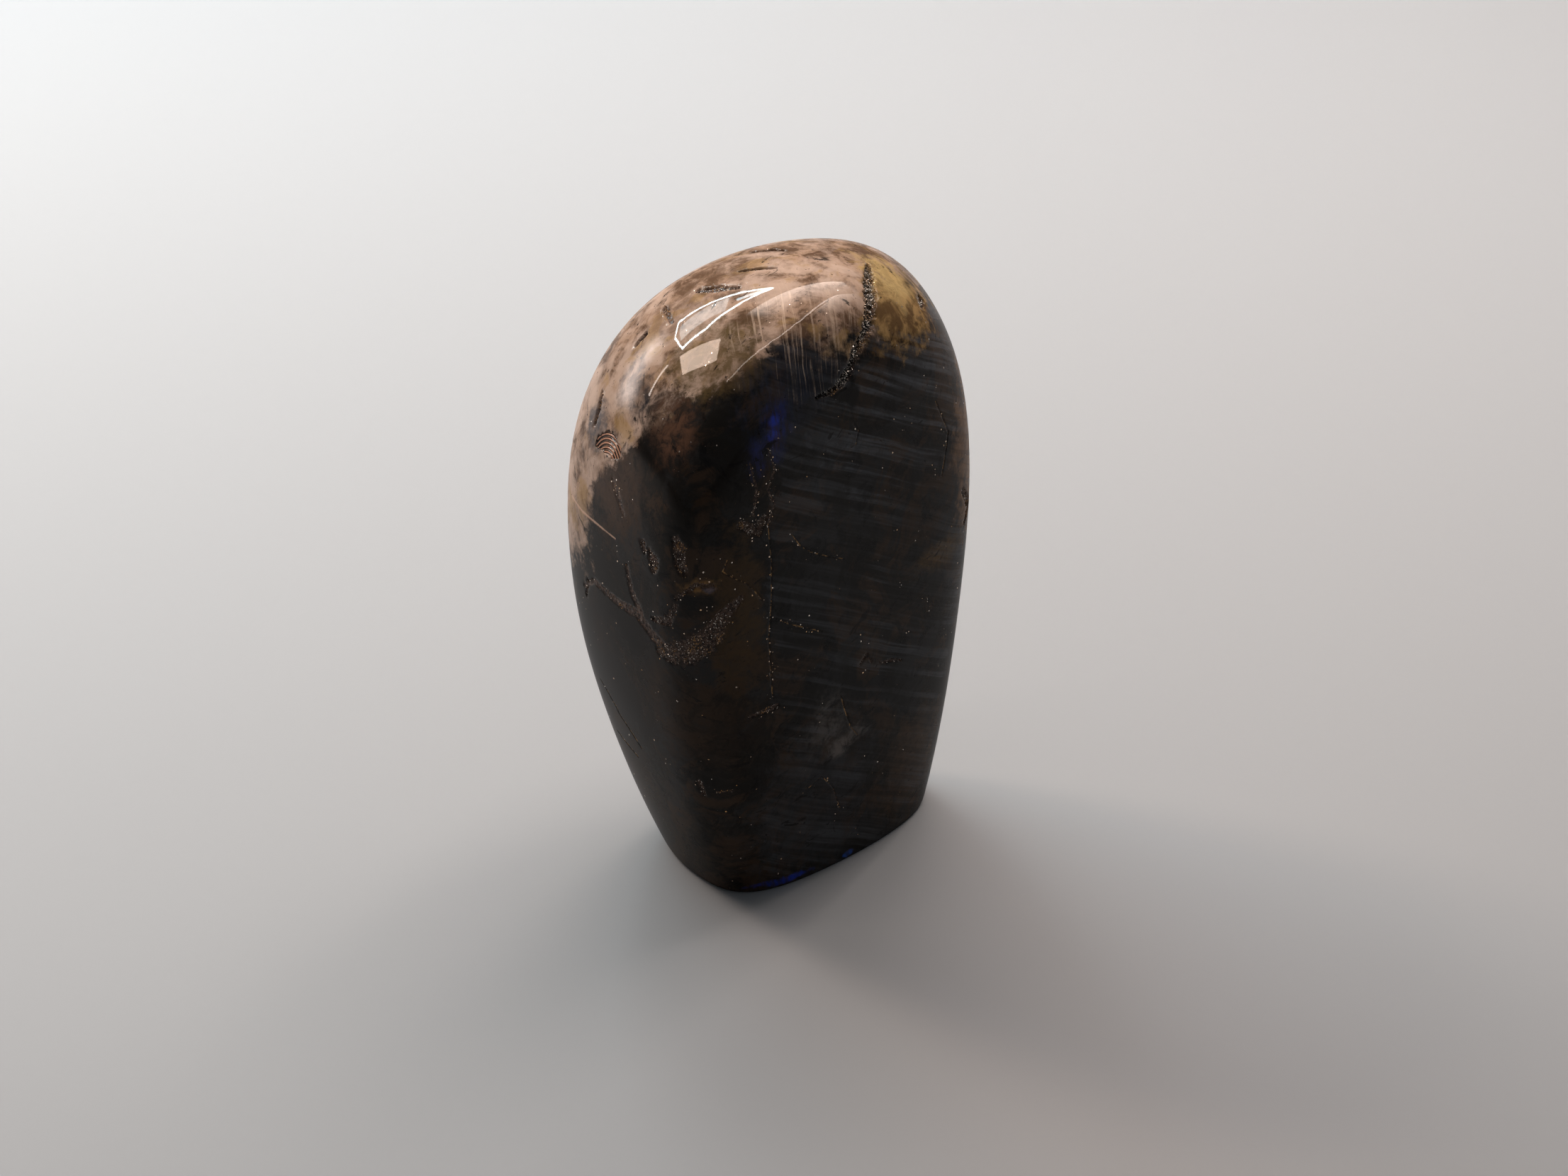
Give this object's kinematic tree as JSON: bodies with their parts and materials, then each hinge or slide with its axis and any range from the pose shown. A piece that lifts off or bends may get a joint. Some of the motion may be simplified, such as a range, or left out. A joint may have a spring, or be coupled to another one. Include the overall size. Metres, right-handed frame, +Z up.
{
  "type": "polished labradorite stone",
  "caption": "Polished free-form labradorite that stands upright on a flat ground base, with rough natural fissures.",
  "frame": {"origin": "on the table, under the middle of the stone's outer box", "axes": "+Z up along the stone's height, -Y toward the viewer of its best side, +X to that viewer's right"},
  "size_m": [0.0646, 0.0638, 0.1002],
  "materials": {
    "labradorite": "polished, dark grey-brown with tan, olive and blue zones"
  },
  "bodies": {
    "root": {"labradorite": "labradorite"}
  },
  "joints": []
}
